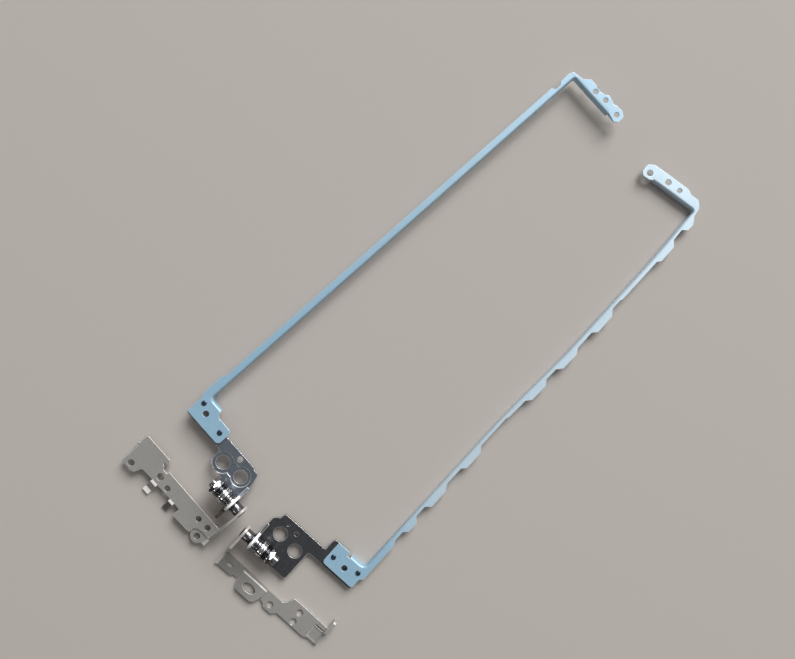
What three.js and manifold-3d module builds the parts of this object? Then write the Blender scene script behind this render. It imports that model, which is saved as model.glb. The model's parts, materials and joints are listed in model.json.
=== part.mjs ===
import * as THREE from "three";
import Module from "manifold-3d";
import { mergeVertices } from "three/addons/utils/BufferGeometryUtils.js";

// Left and right laptop display hinges with their side rails, lying opened flat. Sizes in mm.
// Each hinge is built about its own axis: x runs along the shaft from the base ear to the nut,
// y runs from the base bracket towards the rail, z is up, and the axis is at y = z = 0.

const wasm = await Module();
wasm.setup();
const { Manifold, Mesh } = wasm;

// ---------- the shaft: radii and lengths ----------
const shaftSize = { body: 2.4, flat: 1.8, collar: 2.7, threadDepth: 0.28, pitch: 0.6, threadRunIn: 0.18, headRadius: 2.3, headThick: 0.5, neck: 1.7, collarEnd: 3.1 };
const threadPast = { right: 2.4, left: 1.7 }; // thread that shows past the nut
const keyGap = 0.03; // room round the shaft in a keyed hole
const runGap = 0.05; // room round the shaft in the arm's ear and the pressure washer
const shaftSteps = 28; // facets round the shaft, and round every hole that it fits
const fitGap = 0.02; // room round the neck, the rivets and between neighbours in the stack

// How far each piece's rim reaches past the shaft's body, and how thick the piece is.
const rim = { innerWasher: 0.7, stopWasher: 0.8, sleeve: 0.45, disc: 1.2, spring: 1.05, springHole: 0.1, pressureWasher: 1.05, nutFlat: 0.85, armEar: 1.6 };
const thick = { innerWasher: 0.56, stopWasher: 0.58, sleeveA: 1.23, sleeveB: 1.33, thrustDisc: 1.48, camDisc: 0.98, pressureWasher: 0.83, nut: 1.43 };
const springs = { count: 4, sheet: 0.34, lift: 0.2, gap: 0.03 };
const springRoom = springs.sheet + springs.lift + springs.gap;

// ---------- sheet levels, measured from the hinge axis ----------
const baseLevel = { bottom: -6.6, sheet: 1.2 }; // foot plate of the base bracket
const discRoom = 0.2; // between the widest disc and the arm plate below it
const armSheet = 1.2;
const armLevel = { bottom: -(shaftSize.body + rim.disc + discRoom + armSheet), sheet: armSheet };
const railLevel = { bottom: armLevel.bottom + armLevel.sheet, sheet: 0.9 }; // rail's plate lies on the arm plate
const wallBottom = baseLevel.bottom; // the rail's wall reaches down to the foot plate's underside

// ---------- the stack of pieces along the shaft: each starts where the last one ends ----------
const ear = { from: -1.6, to: -1.6 + baseLevel.sheet }; // base bracket's ear
const spans = {};
let reach = shaftSize.collarEnd;
for (const [name, size] of [["innerWasher", thick.innerWasher], ["armEar", armLevel.sheet], ["stopWasher", thick.stopWasher], ["sleeveA", thick.sleeveA], ["sleeveB", thick.sleeveB], ["thrustDisc", thick.thrustDisc], ["camDisc", thick.camDisc], ["springs", springs.count * springRoom], ["pressureWasher", thick.pressureWasher], ["nut", thick.nut]]) {
  spans[name] = [reach + fitGap, reach + fitGap + size];
  reach += fitGap + size;
}
const armEar = { from: spans.armEar[0], to: spans.armEar[1] };

// ---------- small helpers ----------
const vec = (x, y) => new THREE.Vector2(x, y);

// Outline from corners [x, y, fillet radius], closed unless open is set.
function outline(corners, open = false) {
  const out = [];
  const n = corners.length;
  corners.forEach(([x, y, r = 0], i) => {
    const p = vec(x, y);
    if (!r || (open && (!i || i === n - 1))) return out.push(p);
    const [ax, ay] = corners[(i + n - 1) % n];
    const [bx, by] = corners[(i + 1) % n];
    const toA = vec(ax, ay).sub(p);
    const toB = vec(bx, by).sub(p);
    const room = 0.48 * Math.min(toA.length(), toB.length());
    toA.normalize();
    toB.normalize();
    const half = Math.acos(THREE.MathUtils.clamp(toA.dot(toB), -1, 1)) / 2;
    if (half > 1.5) return out.push(p);
    const back = Math.min(r / Math.tan(half), room);
    const radius = back * Math.tan(half);
    const centre = toA.clone().add(toB).normalize().multiplyScalar(radius / Math.sin(half)).add(p);
    const start = toA.clone().multiplyScalar(back).add(p).sub(centre);
    const end = toB.clone().multiplyScalar(back).add(p).sub(centre);
    let turn = end.angle() - start.angle();
    turn = Math.atan2(Math.sin(turn), Math.cos(turn));
    const steps = Math.max(2, Math.ceil(Math.abs(turn) / 0.35));
    for (let k = 0; k <= steps; k++)
      out.push(start.clone().rotateAround(vec(0, 0), (turn * k) / steps).add(centre));
  });
  return out;
}

const circle = (x, y, r, steps = 24) =>
  Array.from({ length: steps }, (_, i) => vec(x + r * Math.cos((2 * Math.PI * i) / steps), y + r * Math.sin((2 * Math.PI * i) / steps)));

// Round-ended slot along x.
const slot = (x, y, long, wide) =>
  outline([[x - long / 2, y - wide / 2, wide / 2.05], [x + long / 2, y - wide / 2, wide / 2.05], [x + long / 2, y + wide / 2, wide / 2.05], [x - long / 2, y + wide / 2, wide / 2.05]]);

const oval = (x, y, long, wide, steps = 28) =>
  Array.from({ length: steps }, (_, i) => vec(x + (long / 2) * Math.cos((2 * Math.PI * i) / steps), y + (wide / 2) * Math.sin((2 * Math.PI * i) / steps)));

const box = (x0, x1, y0, y1) => [vec(x0, y0), vec(x1, y0), vec(x1, y1), vec(x0, y1)];

// Round outline broken by two flats across y.
const doubleD = (r, flat, steps) => {
  const ring = circle(0, 0, r, steps);
  return ring.flatMap((p, i) => {
    const q = ring[(i + 1) % steps];
    const crosses = Math.abs(p.x) > flat !== Math.abs(q.x) > flat;
    const corner = crosses ? [p.clone().lerp(q, (Math.sign(p.x + q.x) * flat - p.x) / (q.x - p.x))] : [];
    return Math.abs(p.x) > flat ? corner : [p, ...corner];
  });
};

// Smallest convex outline round some points.
function hull(points) {
  const p = [...points].sort((a, b) => a.x - b.x || a.y - b.y);
  const side = (list) => {
    const s = [];
    for (const q of list) {
      while (s.length > 1 && s.at(-1).clone().sub(s.at(-2)).cross(q.clone().sub(s.at(-2))) <= 1e-9) s.pop();
      s.push(q);
    }
    return s.slice(0, -1);
  };
  return [...side(p), ...side(p.reverse())];
}

function extrude(points, holes, depth) {
  const shape = new THREE.Shape(points);
  shape.holes = holes.map((h) => new THREE.Path(h));
  return new THREE.ExtrudeGeometry(shape, { depth, bevelEnabled: false });
}

// Flat sheet between two levels.
const plate = (points, holes, z0, z1) => extrude(points, holes, z1 - z0).translate(0, 0, z0);

// Profile drawn as (y, z), extruded along x.
const along = (points, holes, x0, x1) =>
  extrude(points, holes, x1 - x0).applyMatrix4(new THREE.Matrix4().makeBasis(new THREE.Vector3(0, 1, 0), new THREE.Vector3(0, 0, 1), new THREE.Vector3(1, 0, 0))).translate(x0, 0, 0);

// Profile drawn as (x, z), extruded along y.
const across = (points, y0, y1) =>
  extrude(points, [], y1 - y0).applyMatrix4(new THREE.Matrix4().makeBasis(new THREE.Vector3(1, 0, 0), new THREE.Vector3(0, 0, 1), new THREE.Vector3(0, -1, 0))).translate(0, y1, 0);

// Turned piece: profile of (radius, x) pairs about the hinge axis, running from one end to the other.
function turned(profile, steps = 40) {
  const g = new THREE.LatheGeometry(profile.map(([r, x]) => vec(r, x)), steps);
  return g.applyMatrix4(new THREE.Matrix4().makeBasis(new THREE.Vector3(0, 0, 1), new THREE.Vector3(1, 0, 0), new THREE.Vector3(0, 1, 0)));
}

function solid(geometry) {
  const g = geometry.index ? geometry.toNonIndexed() : geometry.clone();
  g.deleteAttribute("normal");
  g.deleteAttribute("uv");
  const m = mergeVertices(g, 1e-4);
  return new Manifold(new Mesh({ numProp: 3, vertProperties: m.attributes.position.array, triVerts: new Uint32Array(m.index.array) }));
}
const join = (...parts) => parts.map((p) => (p.isBufferGeometry ? solid(p) : p)).reduce((a, b) => a.add(b));
const cut = (body, ...tools) => tools.map((p) => (p.isBufferGeometry ? solid(p) : p)).reduce((a, b) => a.subtract(b), body.isBufferGeometry ? solid(body) : body);

function geometryOf(body) {
  const m = body.getMesh();
  const g = new THREE.BufferGeometry();
  g.setAttribute("position", new THREE.BufferAttribute(new Float32Array(m.vertProperties), 3));
  g.setIndex([...m.triVerts]);
  const flat = g.toNonIndexed();
  flat.computeVertexNormals();
  return flat;
}

// Sweeps a closed profile of (inwards, z) pairs along a path; inwards is to the path's right.
function sweep(path, profile) {
  const n = path.length;
  const ring = path.map((p, i) => {
    const before = (i ? p.clone().sub(path[i - 1]) : path[1].clone().sub(p)).normalize();
    const after = (i < n - 1 ? path[i + 1].clone().sub(p) : p.clone().sub(path[i - 1])).normalize();
    const right = vec(before.y + after.y, -before.x - after.x).normalize();
    right.multiplyScalar(1 / right.dot(vec(before.y, -before.x)));
    return profile.map(([d, z]) => [p.x + right.x * d, p.y + right.y * d, z]);
  });
  const m = profile.length;
  const pos = [];
  const tri = (a, b, c) => pos.push(...a, ...b, ...c);
  for (let i = 0; i < n - 1; i++)
    for (let j = 0; j < m; j++) {
      const k = (j + 1) % m;
      tri(ring[i][j], ring[i][k], ring[i + 1][j]);
      tri(ring[i][k], ring[i + 1][k], ring[i + 1][j]);
    }
  const caps = THREE.ShapeUtils.triangulateShape(profile.map(([d, z]) => vec(d, z)), []);
  for (const [a, b, c] of caps) {
    tri(ring[0][a], ring[0][c], ring[0][b]);
    tri(ring[n - 1][a], ring[n - 1][b], ring[n - 1][c]);
  }
  const g = new THREE.BufferGeometry();
  g.setAttribute("position", new THREE.BufferAttribute(new Float32Array(pos), 3));
  let body = solid(g);
  if (body.volume() < 0) {
    for (let i = 0; i < pos.length; i += 9) for (let c = 3; c < 6; c++) [pos[i + c], pos[i + c + 3]] = [pos[i + c + 3], pos[i + c]];
    g.setAttribute("position", new THREE.BufferAttribute(new Float32Array(pos), 3));
    body = solid(g);
  }
  return body;
}

const sweepOffset = (path, d) => {
  const n = path.length;
  return path.map((p, i) => {
    const before = (i ? p.clone().sub(path[i - 1]) : path[1].clone().sub(p)).normalize();
    const after = (i < n - 1 ? path[i + 1].clone().sub(p) : p.clone().sub(path[i - 1])).normalize();
    const right = vec(before.y + after.y, -before.x - after.x).normalize();
    return right.multiplyScalar(d / right.dot(vec(before.y, -before.x))).add(p);
  });
};

// ---------- finishes ----------
const finish = (name, color, roughness, metalness) => Object.assign(new THREE.MeshStandardMaterial({ color, roughness, metalness }), { name });
const nickel = () => finish("nickel_plate", 0xa9a6a0, 0.35, 0.9);
const zinc = () => finish("blue_zinc", 0x9fb9cb, 0.4, 0.8);
const steel = () => finish("bright_steel", 0xd0d0d0, 0.2, 1);
const springSteel = () => finish("dark_spring_steel", 0x2a2b2e, 0.35, 0.9);
const rivetDark = () => finish("dark_rivet", 0x1c1c1e, 0.45, 0.8);
const armPaint = { right: () => finish("black_arm", 0x2d2f33, 0.5, 0.6), left: () => finish("grey_arm", 0x565a60, 0.5, 0.6) };

function piece(name, body, material) {
  const mesh = new THREE.Mesh(body.isBufferGeometry ? body : geometryOf(body), material);
  mesh.name = name;
  return mesh;
}

// ---------- pieces both hinges share ----------
function shaft(end) {
  const { collar, body, flat, collarEnd, pitch, headRadius: head, headThick, neck } = shaftSize;
  const core = body - shaftSize.threadDepth;
  const threadFrom = spans.pressureWasher[0] + shaftSize.threadRunIn;
  const profile = [[0, ear.from - headThick], [head - 0.4, ear.from - headThick], [head, ear.from - 0.12], [head, ear.from], [neck, ear.from], [neck, ear.to], [collar - 0.15, ear.to], [collar, ear.to + 0.2], [collar, collarEnd - 0.2], [collar - 0.2, collarEnd], [body, collarEnd]];
  for (let x = threadFrom; x < end - 0.55; x += pitch) profile.push([body, x], [core, x + pitch * 0.35], [body, x + pitch * 0.7]);
  profile.push([body, end - 0.4], [core, end], [0, end]);
  const wide = body + 2;
  const sideCut = (s) => along(box(Math.min(s * flat, s * wide), Math.max(s * flat, s * wide), -wide, wide), [], collarEnd, threadFrom - 0.1);
  return cut(turned(profile, shaftSteps), sideCut(1), sideCut(-1));
}

// Washer with a keyed or a round hole, with a small chamfer at its rim.
function washer([x0, x1], rimWide, keyed) {
  const r = shaftSize.body + rimWide;
  const hole = keyed ? doubleD(shaftSize.body + keyGap, shaftSize.flat + keyGap, shaftSteps) : circle(0, 0, shaftSize.body + runGap, shaftSteps);
  const c = Math.min(0.12, (x1 - x0) / 5);
  const rim = turned([[0, x0], [r - c, x0], [r, x0 + c], [r, x1 - c], [r - c, x1], [0, x1]]);
  return cut(rim, along(hole, [], x0 - 1, x1 + 1));
}

function discSpring(i) {
  const { sheet, lift } = springs;
  const rOut = shaftSize.body + rim.spring;
  const rIn = shaftSize.body + rim.springHole;
  const x = spans.springs[0] + i * springRoom;
  const up = i % 2 ? 0 : lift;
  const down = i % 2 ? lift : 0;
  const g = new THREE.LatheGeometry([vec(rIn, x + up), vec(rOut, x + down), vec(rOut, x + down + sheet), vec(rIn, x + up + sheet), vec(rIn, x + up)], 40);
  g.applyMatrix4(new THREE.Matrix4().makeBasis(new THREE.Vector3(0, 0, 1), new THREE.Vector3(1, 0, 0), new THREE.Vector3(0, 1, 0)));
  return solid(g);
}

function lockNut([x0, x1]) {
  const corner = (2 * (shaftSize.body + rim.nutFlat)) / Math.sqrt(3);
  const hex = Array.from({ length: 6 }, (_, i) => vec(corner * Math.cos((Math.PI * (i + 0.5)) / 3), corner * Math.sin((Math.PI * (i + 0.5)) / 3)));
  const barrel = turned([[0, x0], [corner - 0.05, x0], [corner, x0 + 0.1], [corner, x1 - 0.35], [corner - 0.45, x1], [0, x1]]);
  return cut(solid(along(hex, [], x0, x1)).intersect(solid(barrel)), along(circle(0, 0, shaftSize.body + keyGap, shaftSteps), [], x0 - 1, x1 + 1));
}

const shankRadius = (headRadius) => headRadius * 0.72;

// Rivet through the rail's plate and the arm plate, with a domed head above and a flat one below.
function rivet([x, y, r]) {
  const top = railLevel.bottom + railLevel.sheet;
  const under = armLevel.bottom;
  const shank = shankRadius(r);
  const g = new THREE.LatheGeometry([[0, under - 0.4], [r * 0.85, under - 0.4], [r, under - 0.3], [r, under], [shank, under], [shank, top], [r, top], [r, top + 0.15], [r * 0.8, top + 0.38], [r * 0.4, top + 0.48], [0, top + 0.5]].map(([a, b]) => vec(a, b)), 20);
  return solid(g.rotateX(Math.PI / 2).translate(x, y, 0));
}

// Rounds the outside of the bend under an ear that stands at x; side is +1 when the plate runs to +x.
function bendCutter(x, side, y0, y1, z, outer = 1.3) {
  const arc = Array.from({ length: 6 }, (_, i) => vec(x + side * outer * (1 - Math.sin((Math.PI * i) / 10)), z + outer * (1 - Math.cos((Math.PI * i) / 10))));
  return across([vec(x - side, z - 1), vec(x + side * outer, z - 1), ...arc, vec(x - side, z + outer)], y0, y1);
}

// ---------- outlines: corners are [x, y, fillet radius], holes are [x, y, radius] ----------
// Ears and tabs are drawn as (y, height above the underside of their own plate).
const rightBase = {
  plate: [[-0.83, -19.82], [6.95, -19.72, 0.9], [8.06, -18.51, 0.5], [9.98, -18.51], [9.98, -14.87], [23.82, -14.87], [23.82, -18.81, 0.3], [25.64, -19.22, 0.5], [26.75, -20.43, 0.9], [31.4, -20.43, 0.9], [32.91, -18.41, 0.9], [48.37, -18.41, 0.9], [49.99, -17.4, 0.7], [54.63, -17.4], [54.63, -8.4], [34.73, -8.4, 1.4], [33.52, -11.44, 1.5], [32.1, -13.15, 1], [-0.83, -13.05]],
  pad: [[10.18, -14.16, 0.3], [10.48, -18.31], [12.2, -22.35, 1.4], [21.7, -22.35, 2.2], [23.62, -17.3, 1], [23.62, -14.16, 0.3]],
  padStep: 0.8,
  ovalHole: [[16.85, -18.15]],
  slotHole: [[4.02, -16.08]],
  screwHoles: [[28.47, -17.6, 1.4], [40.49, -11.64, 1.5], [40.89, -16.39, 1.5]],
  reliefSlit: [[51.3, -10.73]],
  sunkArea: [[49.08, -16.69], [53.93, -11.44]],
  earLow: -19.8,
  earBoss: 3.7,
  earCorners: [[-8.3, 9.0], [-12.2, 4.1], [-12.9, 0]],
  endTab: { from: 53.7, to: 54.9, profile: [[-17.4, 0], [-3.2, 0, 0.5], [-3.2, 4.2, 1.5], [-10.0, 4.2, 0.8], [-12.2, 1.6, 0.5], [-17.4, 1.6, 0.5]] },
};

const leftBase = {
  plate: [[-1.23, -19.49], [3.18, -19.39, 1.5], [5.99, -20.09, 1], [6.99, -21.29, 0.4], [7.09, -23.6, 0.3], [8.8, -24.1, 0.5], [17.32, -24.3, 0.5], [17.42, -20.59, 0.3], [19.53, -20.49, 0.3], [30.06, -20.59, 0.3], [35.98, -20.69, 0.3], [40.99, -20.89, 1.5], [42.49, -25, 1.5], [49.61, -25.2, 0.7], [49.61, -15.48, 0.2], [50.82, -15.38, 0.3], [50.82, -14.27, 0.3], [50.11, -14.07, 0.2], [50.21, -9.46, 1], [35.67, -9.46, 0.5], [34.27, -10.96, 0.2], [35.17, -11.37, 0.2], [36.38, -11.67, 0.5], [36.48, -12.87, 0.4], [35.47, -12.97, 0.3], [34.77, -14.27, 0.3], [32.06, -14.27, 0.3], [32.06, -13.07, 0.2], [-1.23, -13.27]],
  lug: [[3.58, -22.2, 3.3]],
  lugRoot: [[-1.23, -18.79], [3.38, -18.69, 1.2], [6.09, -19.39, 0.8], [6.79, -21.69], [3.58, -22.4], [0.58, -23.5], [-1.13, -23.3], [-1.23, -22.1]],
  lugStep: 0.8,
  lugHole: [[3.58, -22.7, 1.4]],
  screwHoles: [[3.18, -16.68, 1.35], [8.6, -16.98, 1.3], [27.35, -18.39, 1.35], [33.07, -17.28, 1.6], [46.1, -22.7, 1.45]],
  earLow: -22.8,
  earBoss: 3.8,
  earCorners: [[-8.6, 9.2], [-13.9, 4.4], [-18.7, 2.4], [-19.4, 0]],
  footTab: { from: 31.3, to: 34.7, profile: [[-19.9, 1.2], [-21.7, 1.2, 0.8], [-25.0, -1.2, 0.8], [-27.5, -1.2, 0.3], [-27.5, -2.4, 0.2], [-25.5, -2.4, 0.8], [-22.2, 0, 0.8], [-19.9, 0]] },
  slopeTab: { from: 20.5, to: 23.3, profile: [[-19.9, 1.2], [-21.6, 1.2, 0.8], [-26.3, -1.4, 0.3], [-26.7, -2.4, 0.2], [-25.9, -2.4, 0.3], [-22.0, 0, 0.8], [-19.9, 0]] },
};

const rightArm = {
  plate: [[4.15, -4.51], [25.56, -4.51, 1.4], [25.56, 10.97, 1.3], [49.18, 11.07, 0.8], [49.18, 20.72, 0.8], [38.53, 20.72, 0.3], [38.53, 23.03, 0.3], [30.08, 23.03, 1.6], [30.08, 16.8, 0.6], [7.06, 16.7, 1.4], [6.56, 13.89, 0.3], [5.45, 13.28, 0.3], [4.15, 11.88, 0.5]],
  bigHoles: [[11.18, 8.76, 3.1], [20.73, 7.45, 3.1]],
  smallHole: [[16.31, 13.38, 1.1]],
  nick: [[11.39, 13.89]],
  recess: [],
  ear: [[-4.3, 0], [8.4, 0], [8.4, 1.6], [5.0, 6.6]],
};

const leftArm = {
  plate: [[4.03, -4.12], [8.82, -4.12, 1], [12.41, 2.87, 2], [24.69, 2.77, 4.6], [24.69, 10.25, 1.2], [46.44, 10.25, 0.8], [46.44, 20.13, 0.8], [36.36, 20.13, 0.4], [35.96, 18.33, 0.3], [27.98, 18.33, 0.8], [27.98, 16.04, 0.3], [9.02, 16.04, 0.3], [8.82, 15.44], [5.93, 15.34, 0.5], [4.73, 11.65, 0.5], [4.03, 7.95]],
  bigHoles: [[10.22, 9.05, 3], [20, 7.46, 3]],
  smallHole: [[16.01, 13.94, 1.3]],
  nick: [],
  recess: [[10.22, 9.05, 4.4], [20, 7.46, 4.75]],
  recessBridge: [[13.01, 5.76], [17.4, 11.25]],
  recessDepth: 0.35,
  ear: [[-4.3, 0], [8.4, 0], [8.4, 1.6], [5.0, 6.6]],
};

// The rail's path follows the bend of its wall; its flange lies on the path's right.
// Its far parts, tab and tab holes have y measured from the wall's far corner.
const rightRail = {
  length: 232.19, // from the hinge axis to the wall's far corner
  path: [[40.5, 22.17], [48.02, 22.17, 2.4], [48.02, 38.81], [48.12, 58.86], [48.32, 83.92], [48.52, 104.98]],
  pathFar: [[49.02, -113.18], [49.62, -102.15], [50.32, -90.12], [50.72, -81.1], [50.82, -63.05], [50.92, -29.97], [50.62, -16.94], [50.12, -5.91], [50.12, 0.0, 1.3], [40.2, -1.0], [30.17, -2.0], [27.97, -2.4]],
  plateEnd: [[32.48, 23.17, 0.5], [32.48, 12.14, 1.5], [49.52, 12.14, 1.3], [49.52, 17.16, 0.4], [50.92, 18.36, 0.4]],
  edge: [[50.92, 38.01, 0.5], [49.72, 40.01, 0.5], [49.72, 44.83, 0.4], [51.62, 46.83, 0.6], [51.62, 51.74, 0.6], [49.42, 54.05, 0.5], [49.52, 59.46, 0.4], [51.72, 61.47, 0.6], [51.72, 70.29, 0.6], [49.92, 73.1, 0.5], [50.02, 82.12, 0.4], [51.82, 83.92, 0.6], [51.82, 92.65, 0.6], [49.82, 95.35, 0.5], [49.92, 111.29, 0.2], [50.52, 112.19, 0.2]],
  edgeFar: [[51.02, -109.77, 0.4], [52.93, -107.57, 0.6], [53.23, -99.14, 0.6], [51.52, -96.74, 0.5], [51.72, -90.92, 0.4], [53.83, -88.52, 0.6], [54.03, -80.2, 0.6], [52.53, -77.69, 0.5], [52.53, -68.87, 0.4], [54.43, -66.86, 0.6], [54.43, -57.84, 0.6], [52.33, -55.03, 0.5], [52.33, -50.02, 0.2], [52.83, -49.22, 0.2], [52.93, -27.57, 0.4], [54.23, -25.56, 0.6], [54.13, -17.74, 0.6], [51.93, -15.34, 0.5], [51.72, -9.92, 0.4], [53.73, -8.32, 0.6], [53.83, -4.91, 0.6], [51.62, -1.7, 0.8]],
  tab: [[51.02, 2.11, 1.5], [48.62, 4.41, 0.8], [44.11, 4.11, 0.2], [43.5, 4.61, 0.2], [41.7, 5.02, 0.8], [30.17, 3.91], [24.16, 3.11, 1.5], [21.75, 1.31, 1.8], [21.95, -2.3, 1.2], [23.55, -3.61, 1.2], [26.36, -3.31, 0.8], [27.97, -2.4]],
  plateTop: [[38.79, 21.17, 0.2], [38.79, 23.17, 0.3]],
  rivets: [[34.78, 16.96, 1.15], [47.21, 18.96, 1.15]],
  screw: [[41.5, 16.46, 1.35]],
  tabHoles: [[25.01, -0.9, 1.35], [33.58, 1.41, 1.35], [39.59, 2.01, 1.15]],
};

const leftRail = {
  length: 229.7, // from the hinge axis to the wall's far corner
  path: [[36.99, 21.85], [43.76, 21.85, 1.9], [43.81, 88.31]],
  pathFar: [[43.86, -71.74], [43.96, 0.0, 1.1], [33.71, 0.0], [23.06, 0.2]],
  plateEnd: [[27.04, 18.96, 1.8], [27.04, 11, 1.8], [46.84, 11, 0.8], [46.84, 20.06, 0.3], [47.84, 21.05, 0.4]],
  edge: [[47.84, 32.2, 0.4], [46.94, 33.39, 0.4]],
  edgeFar: [[47.04, -10.44, 0.5], [45.55, -9.45, 0.3], [45.45, -6.76, 0.3], [46.64, -5.47, 0.4], [46.74, -0.69, 0.8]],
  tab: [[46.15, 1.1, 0.7], [40.87, 2.09, 0.6], [39.48, 3.88, 0.5], [38.39, 4.78, 0.6], [35.1, 4.78, 0.4], [34.31, 4.18, 0.4], [32.22, 4.18, 0.4], [29.93, 4.78, 0.4], [28.54, 5.87, 0.8], [26.05, 5.58, 0.5], [24.16, 4.78, 0.5], [22.76, 5.48, 0.5], [19.78, 5.87, 1], [17.19, 4.48, 1.5], [17.09, 1.3, 1.2], [18.59, 0.0, 0.8], [23.06, 0.2]],
  plateTop: [[36.59, 21.35, 0.3], [36.1, 19.86, 0.4], [35, 18.96, 0.4]],
  rivets: [[30.33, 15.18, 1.2], [44.26, 18.57, 1.15]],
  screw: [[40.28, 16.08, 1.4]],
  tabHoles: [[33.41, 2.59, 1.2], [27.84, 3.39, 1.2], [20.08, 2.79, 1.2]],
};

// ---------- base bracket: foot plate, upright ear and the side's own features ----------
function baseBracket(b) {
  const { bottom, sheet } = baseLevel;
  const top = bottom + sheet;
  const holes = [...b.screwHoles.map(([x, y, r]) => circle(x, y, r))];
  if (b.slotHole) holes.push(slot(...b.slotHole[0], 3.0, 1.6));
  if (b.reliefSlit) holes.push(slot(...b.reliefSlit[0], 4.4, 0.6));
  let body = solid(plate(outline(b.plate), holes, bottom, top));
  const boss = circle(0, 0, b.earBoss, 40);
  const earProfile = hull([...boss, ...b.earCorners.map(([y, z]) => vec(y, z + bottom))]);
  body = body.add(solid(along(earProfile, [], ear.from, ear.to)));
  body = body.add(solid(along(box(b.earLow, b.earCorners.at(-1)[0] + 0.5, bottom, top + 0.5), [], ear.from, ear.to)));
  body = cut(body, along(circle(0, 0, shaftSize.neck + fitGap, shaftSteps), [], ear.from - 1, ear.to + 1));
  if (b.pad) {
    const z = bottom + b.padStep;
    body = body.add(solid(plate(outline(b.pad), [oval(...b.ovalHole[0], 6.4, 3.9)], z, z + sheet)));
  }
  if (b.lug) {
    const z = bottom - b.lugStep;
    const [hx, hy, hr] = b.lugHole[0];
    body = cut(join(body, plate(circle(...b.lug[0], 36), [], z, z + sheet), plate(outline(b.lugRoot), [], z, z + sheet)), plate(circle(hx, hy, hr), [], z - 1, top + 1));
  }
  if (b.sunkArea) {
    const [[x0, y0], [x1, y1]] = b.sunkArea;
    body = cut(body, plate(outline([[x0, y0, 0.6], [x1, y0, 0.6], [x1, y1, 0.6], [x0, y1, 0.6]]), [], top - 0.3, top + 1));
  }
  for (const tab of [b.footTab, b.slopeTab, b.endTab]) if (tab) body = body.add(solid(along(outline(tab.profile).map((p) => vec(p.x, p.y + bottom)), [], tab.from, tab.to)));
  body = cut(body, bendCutter(ear.from, 1, b.earLow - 1, 6, b.lug ? bottom - b.lugStep : bottom));
  if (b.endTab) body = cut(body, bendCutter(b.endTab.to, -1, b.endTab.profile[0][0] - 1, 0, bottom));
  return body;
}

// ---------- arm bracket: plate with an upright ear that turns on the shaft ----------
function armBracket(a, rail) {
  const { bottom, sheet } = armLevel;
  const top = bottom + sheet;
  const holes = [...a.bigHoles, ...a.smallHole, ...rail.screw].map(([x, y, r]) => circle(x, y, r, 32));
  for (const [x, y, r] of rail.rivets) holes.push(circle(x, y, shankRadius(r) + fitGap));
  let body = join(plate(outline(a.plate), holes, bottom, top), along(hull([...circle(0, 0, shaftSize.body + rim.armEar, 40), ...a.ear.map(([y, z]) => vec(y, z + bottom))]), [], armEar.from, armEar.to));
  body = cut(body, along(circle(0, 0, shaftSize.body + runGap, shaftSteps), [], armEar.from - 1, armEar.to + 1));
  if (a.recessBridge) {
    const [[x0, y0], [x1, y1]] = a.recessBridge;
    const low = top - a.recessDepth;
    const sunk = join(...a.recess.map(([x, y, r]) => plate(circle(x, y, r, 40), [], low, top + 0.5)), plate(box(x0, x1, y0, y1), [], low, top + 0.5));
    body = cut(body, cut(sunk, plate(box(armEar.from - 1, armEar.to + 0.4, -9, 30), [], -9, 9)));
  }
  for (const [x, y] of a.nick) body = cut(body, plate(slot(0, 0, 1.5, 0.7).map((p) => p.rotateAround(vec(0, 0), 1.1).add(vec(x, y))), [], top - 0.3, top + 1));
  return body;
}

// ---------- display rail: flat outline joined to the bent wall ----------
function displayRail(r) {
  const { bottom, sheet } = railLevel;
  const top = bottom + sheet;
  const bend = 0.9;
  const arc = Array.from({ length: 5 }, (_, i) => [bend - bend * Math.sin((Math.PI * i) / 8), top - bend + bend * Math.cos((Math.PI * i) / 8)]);
  const profile = [[0, wallBottom], [sheet, wallBottom], [sheet, bottom - 0.2], [sheet + 0.15, bottom], [1.15, bottom], [1.15, top], ...arc];
  const far = (points) => points.map(([x, y, ...q]) => [x, y + r.length, ...q]);
  const path = outline([...r.path, ...far(r.pathFar)], true);
  const inner = sweepOffset(path, 1.0).reverse();
  const flat = [...outline([...r.plateEnd, ...r.edge, ...far(r.edgeFar), ...far(r.tab)], true).slice(1), ...inner, ...outline([[...inner.at(-1).toArray()], ...r.plateTop, ...r.plateEnd.slice(0, 2)], true).slice(1, -1)];
  const holes = [...far(r.tabHoles), ...r.screw].map(([x, y, q]) => circle(x, y, q));
  for (const [x, y, q] of r.rivets) holes.push(circle(x, y, shankRadius(q) + fitGap));
  return join(plate(flat, [], bottom, top), sweep(path, profile)).subtract(join(...holes.map((h) => plate(h, [], bottom - 1, top + 1))));
}

// Finger of the left stop washer: it steps into the arm ear's plane, beyond the ear's reach.
const finger = { turned: 197, half: 0.75, from: 1.7, to: 6.4, lap: 1.2, step: 0.03 };
function stopFinger() {
  const reachPast = shaftSize.body + rim.armEar;
  const lean = (points) => points.map((p) => p.rotateAround(vec(0, 0), THREE.MathUtils.degToRad(finger.turned)));
  const strap = lean(box(shaftSize.body + 0.3, reachPast + finger.from + finger.lap, -finger.half, finger.half));
  const tip = lean(outline([[reachPast + finger.from, -finger.half], [reachPast + finger.to, -finger.half, 0.5], [reachPast + finger.to, finger.half, 0.5], [reachPast + finger.from, finger.half]]));
  return [along(strap, [], ...spans.stopWasher), along(tip, [], armEar.from - 0.1, spans.stopWasher[0] + finger.step)];
}

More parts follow.
